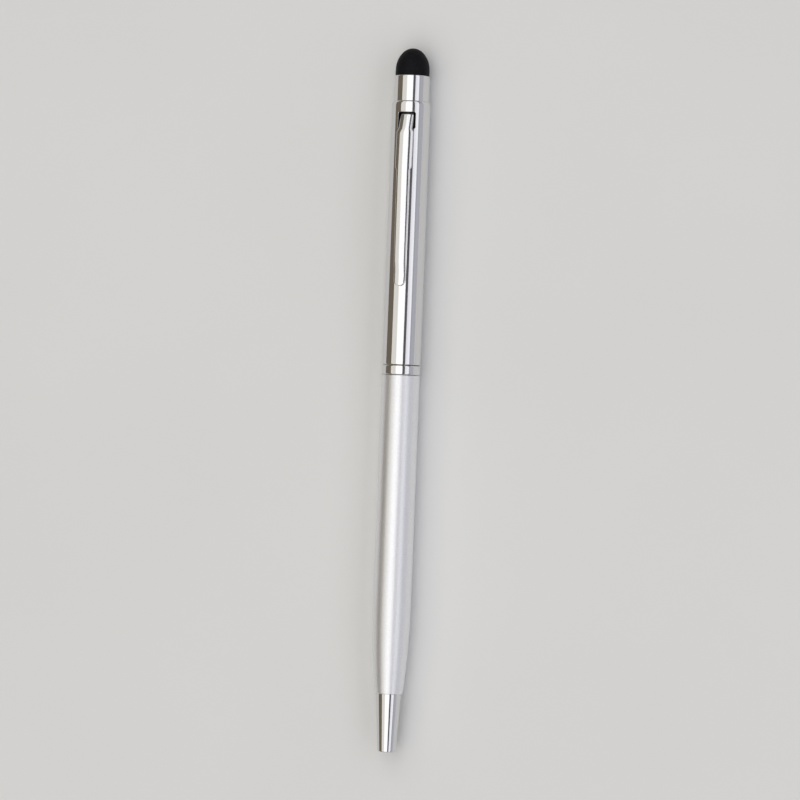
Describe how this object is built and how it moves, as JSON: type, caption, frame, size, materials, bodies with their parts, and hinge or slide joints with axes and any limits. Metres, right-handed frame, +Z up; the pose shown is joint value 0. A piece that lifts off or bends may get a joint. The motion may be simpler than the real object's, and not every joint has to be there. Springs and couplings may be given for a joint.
{
  "type": "retractable ballpoint pen",
  "caption": "Slim twist-action ballpoint pen: satin silver lower barrel, bright upper barrel with sprung clip, plain tapered nose and domed rubber stylus end. Turning it slides the refill out.",
  "frame": {"origin": "under the middle of the pen's length, on the surface that the pen lies on", "axes": "+Y along the pen's axis from the nose to the stylus dome, +Z up on the clip's side, +X across"},
  "size_m": [0.0074, 0.136, 0.0091],
  "materials": {
    "chrome": "polished",
    "satin_silver": "satin",
    "conductive_rubber": "matte",
    "brass": "satin",
    "white_acetal": "satin",
    "black_plastic": "satin",
    "steel_pin": "polished",
    "nickel_silver": "satin",
    "carbide": "polished",
    "ink": "gloss",
    "follower_grease": "gloss"
  },
  "bodies": {
    "upper": {"upper_barrel": "chrome", "stylus_ferrule": "chrome", "stylus_tip": "conductive_rubber", "stylus_core": "black_plastic", "mechanism_housing": "brass", "cam_sleeve": "white_acetal", "housing_cap": "brass", "friction_washer": "white_acetal"},
    "clip": {"clip": "chrome"},
    "coupling": {"guide_tube": "brass", "coupling_sleeve": "black_plastic", "centre_ring": "chrome"},
    "lower": {"lower_barrel": "satin_silver", "barrel_socket": "brass", "nose_cone": "chrome"},
    "refill": {"refill_carrier": "white_acetal", "drive_pin": "steel_pin", "refill_tube": "brass", "refill_ink": "ink", "refill_follower": "follower_grease", "refill_tip": "nickel_silver"},
    "ball": {"writing_ball": "carbide"}
  },
  "joints": [
    {"name": "barrel_twist", "type": "hinge", "parent": "upper", "child": "coupling", "pos_m": [0, 0, 0.00375], "axis": [0, 1, 0], "range_deg": [0, 180]},
    {"name": "refill_travel", "type": "slide", "parent": "coupling", "child": "refill", "axis": [0, -1, 0], "range_m": [0, 0.0055]},
    {"name": "ball_roll", "type": "hinge", "parent": "refill", "child": "ball", "pos_m": [0, -0.0662, 0.00375], "axis": [1, 0, 0], "continuous": true},
    {"name": "barrel_pull", "type": "slide", "parent": "coupling", "child": "lower", "axis": [0, -1, 0], "range_m": [0, 0.08]},
    {"name": "clip_flex", "type": "hinge", "parent": "upper", "child": "clip", "pos_m": [0, 0.0564, 0.0064], "axis": [-1, 0, 0], "range_deg": [0, 4], "stiffness_Nm_per_rad": 2.4, "springref_deg": -1.72}
  ],
  "couplings": [
    {"joint": "barrel_twist", "follows": "refill_travel", "rad_per_m": 571.2}
  ]
}
